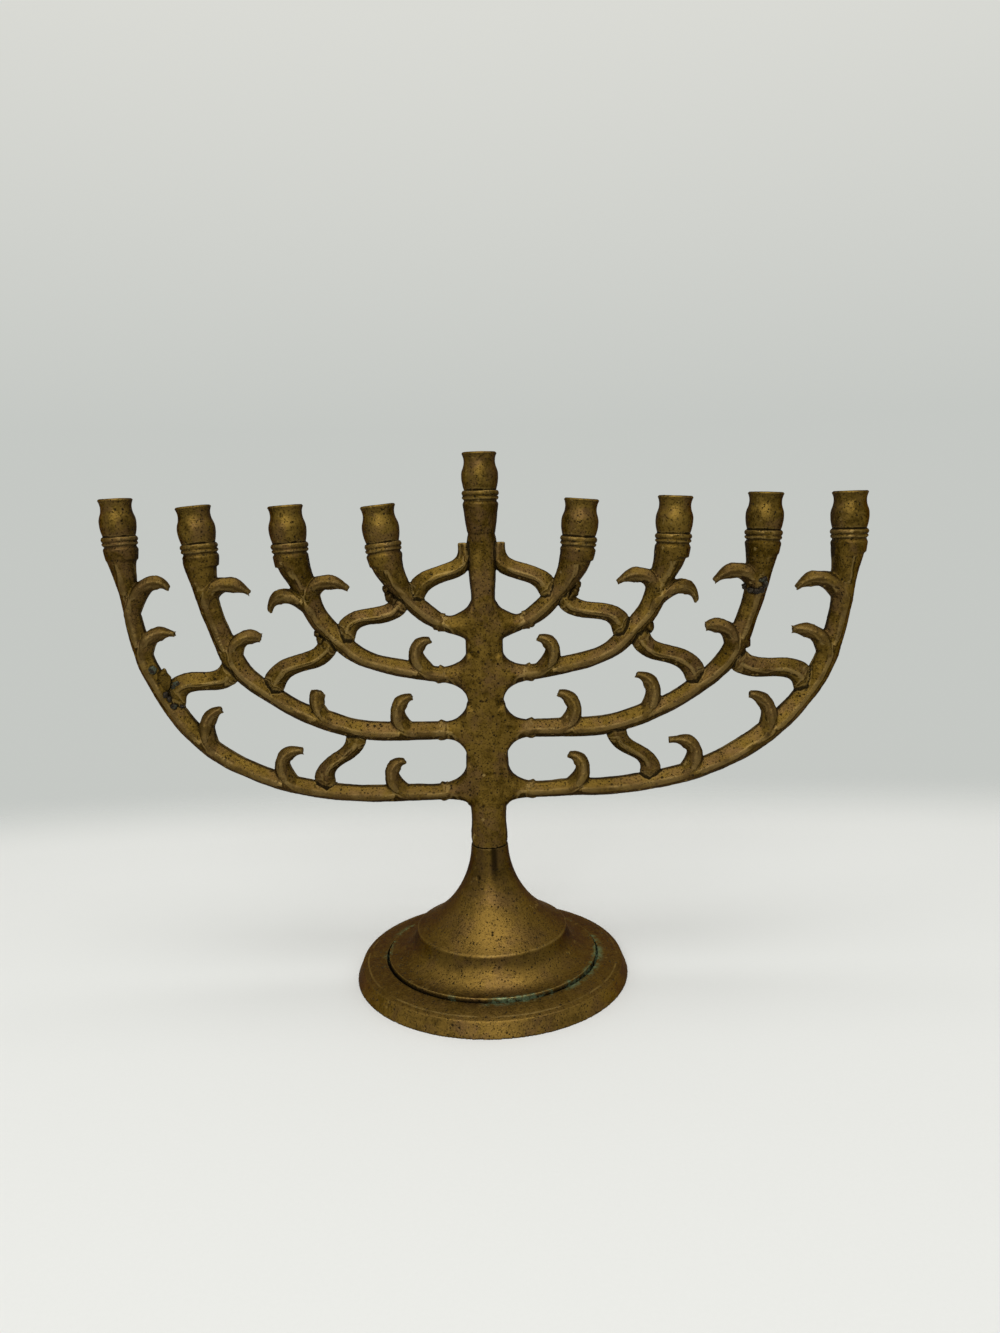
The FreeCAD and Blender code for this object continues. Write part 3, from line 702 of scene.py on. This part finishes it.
def dressed(node, kind):
    """A node's cast form, softened and weathered, which stands for its plain solid."""
    cast = CAST[kind]
    mesh = remeshed(NODES[node].data.copy(), cast.voxel * MM, cast.passes)
    low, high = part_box(node)
    if kind in ("arm", "scroll"):
        restored(node, mesh)
    if kind in ("stem", "arm", "scroll"):
        width = spans(node, mesh)
    if kind == "arm":
        filled(mesh, width)
    if kind in ("stem", "arm"):
        lapped(node, mesh)
        low, high = low - Vector((LAP, 0, 0)), high + Vector((LAP, 0, 0))
    near = seams(node, mesh)
    weather(node, mesh, cast, low, high, near)
    piece = add_piece(node + "_look", mesh, SLOTS[node], BODY[node])
    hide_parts(node)
    return piece


looks = {}
for node, carried in NODES.items():
    kind = node.split("_")[0]
    if kind in CAST:
        looks[node] = dressed(node, kind)
    else:
        carried.data.materials.clear()
        carried.data.materials.append(MATERIALS[SLOTS[node]])


# Braze on the mended arms: x, z, half width, half height and how proud each lump stands, in millimetres
BUD = [(-119.2, 117.4, 2.9, 4.3, 1.0)]
OUTER_TOP = [(-122.6, 121.6, 1.7, 1.6, 0.8), (-120.6, 122.6, 1.4, 0.8, 0.7)]
OUTER_LOW = [
    (-116.6, 114.6, 0.8, 1.4, 0.9), (-118.3, 112.2, 1.2, 1.3, 0.9), (-117.0, 110.4, 0.9, 1.3, 0.9),
    (-115.6, 107.7, 1.5, 1.2, 0.9), (-113.2, 107.4, 1.3, 0.7, 0.7), (-111.6, 108.9, 0.8, 1.2, 0.7)]
SIDE_BAR = [(-114.2, 116.2, 1.5, 0.9, 0.7), (-115.4, 114.9, 0.9, 0.8, 0.6)]
RIGHT_SECOND = [
    (96.2, 146.9, 1.4, 1.2, 1.1), (97.7, 145.7, 1.5, 1.2, 1.2), (99.4, 145.2, 1.5, 1.1, 1.3),
    (101.0, 145.9, 1.4, 1.2, 1.2), (102.5, 147.6, 1.1, 1.5, 1.1), (102.2, 149.5, 1.1, 1.1, 1.0),
    (100.8, 149.2, 0.9, 0.8, 0.9)]
# Beads of brass where the bars' ends were run onto the arms: x, z and three half sizes, in millimetres
NUBS = [
    (34.5, 149.2, 1.5, 2.4, 1.7), (33.6, 146.6, 1.9, 2.7, 2.0), (32.2, 144.4, 2.1, 2.8, 1.9),
    (60.6, 132.7, 2.2, 2.9, 2.5), (96.8, 125.9, 1.8, 2.7, 2.2), (-96.5, 125.9, 1.6, 2.6, 1.9),
    (-35.2, 149.0, 1.5, 2.4, 1.6), (-34.3, 146.4, 1.9, 2.7, 2.0), (-32.4, 144.3, 2.1, 2.8, 1.9),
    (-61.3, 133.2, 1.4, 2.4, 1.6), (-60.1, 130.7, 1.8, 2.7, 2.0), (-58.1, 128.6, 2.0, 2.8, 1.9)]
LUMP_VOXEL = 0.25 * MM
LUMP_SWELL, LUMP_SCALE = 0.35, 1.3


def lumps(name, balls, material):
    """Uneven balls made one piece: each has its centre, its half sizes in millimetres and its own noise."""
    whole = bmesh.new()
    for centre, sizes, own in balls:
        for vertex in bmesh.ops.create_icosphere(whole, subdivisions=3, radius=1.0)["verts"]:
            swell = 1 + LUMP_SWELL * noise.noise(vertex.co * LUMP_SCALE + Vector((own, 3.1, 7.7)))
            vertex.co = centre + Vector([part * size * MM * swell for part, size in zip(vertex.co, sizes)])
    mesh = bpy.data.meshes.new(name)
    whole.to_mesh(mesh)
    whole.free()
    add_piece(name, remeshed(mesh, LUMP_VOXEL, 1), material, "branches")


def braze(name, node, spots, material="solder"):
    """Braze left on a joint: lumps pressed into a piece's front."""
    tree = tree_of(looks[node].data)
    balls = []
    for index, (x, z, wide, tall, proud) in enumerate(spots):
        front = tree.ray_cast(Vector((x * MM, -0.1, z * MM)), Vector((0, 1, 0)))[0]
        if front is not None:
            balls.append((front, (wide, proud, tall), index * 1.7))
    lumps(name, balls, material)


braze("bud_left_outer", "arm_left_outer", BUD, "branch_brass")
braze("braze_left_outer_top", "arm_left_outer", OUTER_TOP, "verdigris_braze")
braze("braze_left_outer_low", "arm_left_outer", OUTER_LOW)
braze("braze_left_side", "scroll_left_side", SIDE_BAR, "verdigris_braze")
braze("braze_right_second", "arm_right_second", RIGHT_SECOND)
nub_balls = [(Vector((x * MM, 0, z * MM)), sizes, index * 2.3) for index, (x, z, *sizes) in enumerate(NUBS)]
lumps("nubs", nub_balls, "branch_brass")


# Floor, light and camera

PAPER = ((0.735, 0.735, 0.715), (0.755, 0.755, 0.735))
FLOOR_HALF = 4.0
# The floor fades out between these distances, which are shortened sideways
FADE = (0.19, 0.30)
FADE_SCALE, FADE_SHIFT = (0.35, 1.0, 0.0), (0.0, 0.03, 0.0)
HORIZON, OVERHEAD = (0.560, 0.580, 0.553), (0.700, 0.705, 0.665)
HORIZON_HEIGHTS = (0.08, 0.42)
PLAIN_LIGHT, PLAIN_STRENGTH = (0.97, 1.0, 1.0, 1), 0.33
# How much of the backdrop lights the object; the rest of that light is the plain one
BACKDROP_SHARE = 0.5
# The photograph's camera: millimetres and degrees
LENS, SENSOR_HEIGHT = 26.007, 36.0
EYE = (5.62, -352.93, 177.45)
LOOKS_DOWN, ROLL = 9.366, -1.4267


def stage():
    """A pale sheet under the stand, which fades into the backdrop."""
    mesh = bpy.data.meshes.new("floor")
    corners = [(-1, -1), (1, -1), (1, 1), (-1, 1)]
    mesh.from_pydata([(x * FLOOR_HALF, y * FLOOR_HALF, 0) for x, y in corners], [], [(0, 1, 2, 3)])
    floor = bpy.data.objects.new("floor", mesh)
    bpy.context.scene.collection.objects.link(floor)
    paper = Shader("paper")
    paper.feed(paper.surface.inputs["Base Color"], paper.mix(paper.noise(900.0, 3.0), *PAPER))
    paper.feed(paper.surface.inputs["Roughness"], 0.9)
    away = paper.length(paper.stretched(FADE_SCALE, FADE_SHIFT))
    fade = paper.node("ShaderNodeMixShader")
    paper.feed(fade.inputs[0], paper.ramp(away, *FADE))
    paper.feed(fade.inputs[1], paper.surface.outputs[0])
    paper.feed(fade.inputs[2], paper.node("ShaderNodeBsdfTransparent").outputs[0])
    paper.feed(paper.tree.nodes["Material Output"].inputs["Surface"], fade.outputs[0])
    mesh.materials.append(paper.material)


def surroundings():
    """A grey backdrop, lighter overhead, that the camera and the metal see. Other rays meet a dimmer sky."""
    world = bpy.data.worlds.new("studio")
    bpy.context.scene.world = world
    world.use_nodes = True
    sky = Nodes(world.node_tree)
    shown = sky.tree.nodes["Background"]
    height = sky.ramp(sky.axis(sky.place.outputs["Generated"], 2), *HORIZON_HEIGHTS, shape="LINEAR")
    sky.feed(shown.inputs["Color"], sky.mix(height, HORIZON, OVERHEAD))
    sky.feed(shown.inputs["Strength"], 1.0)
    lit = sky.node("ShaderNodeBackground")
    sky.feed(lit.inputs["Color"], PLAIN_LIGHT)
    sky.feed(lit.inputs["Strength"], PLAIN_STRENGTH)
    path = sky.node("ShaderNodeLightPath")
    rays = ("Is Camera Ray", "Is Glossy Ray", "Is Transmission Ray")
    choose = sky.node("ShaderNodeMixShader")
    sky.feed(choose.inputs[0], sky.most(*(path.outputs[ray] for ray in rays), BACKDROP_SHARE))
    sky.feed(choose.inputs[1], lit.outputs[0])
    sky.feed(choose.inputs[2], shown.outputs[0])
    sky.feed(sky.tree.nodes["World Output"].inputs["Surface"], choose.outputs[0])


def lamp(name, place, aim, size, power):
    data = bpy.data.lights.new(name, "AREA")
    data.shape = "RECTANGLE"
    data.size, data.size_y = size
    data.energy = power
    light = bpy.data.objects.new(name, data)
    light.location = place
    light.rotation_euler = (Vector(aim) - Vector(place)).to_track_quat("-Z", "Y").to_euler()
    bpy.context.scene.collection.objects.link(light)


def camera():
    data = bpy.data.cameras.new("camera")
    data.sensor_fit = "VERTICAL"
    data.sensor_height = SENSOR_HEIGHT
    data.lens = LENS
    seen = bpy.data.objects.new("camera", data)
    tilt = Matrix.Rotation(math.radians(90 - LOOKS_DOWN), 4, "X")
    turn = Matrix.Rotation(math.radians(ROLL), 4, "Z")
    seen.matrix_world = Matrix.Translation([part * MM for part in EYE]) @ (tilt @ turn)
    bpy.context.scene.collection.objects.link(seen)
    bpy.context.scene.camera = seen


stage()
surroundings()
lamp("ceiling", place=(0, -0.10, 1.1), aim=(0, 0, 0.05), size=(1.0, 0.8), power=6.3)
lamp("window", place=(-0.15, -1.2, 0.8), aim=(0, 0, 0.1), size=(0.7, 0.7), power=6.5)
camera()
bpy.context.scene.view_settings.view_transform = "Standard"
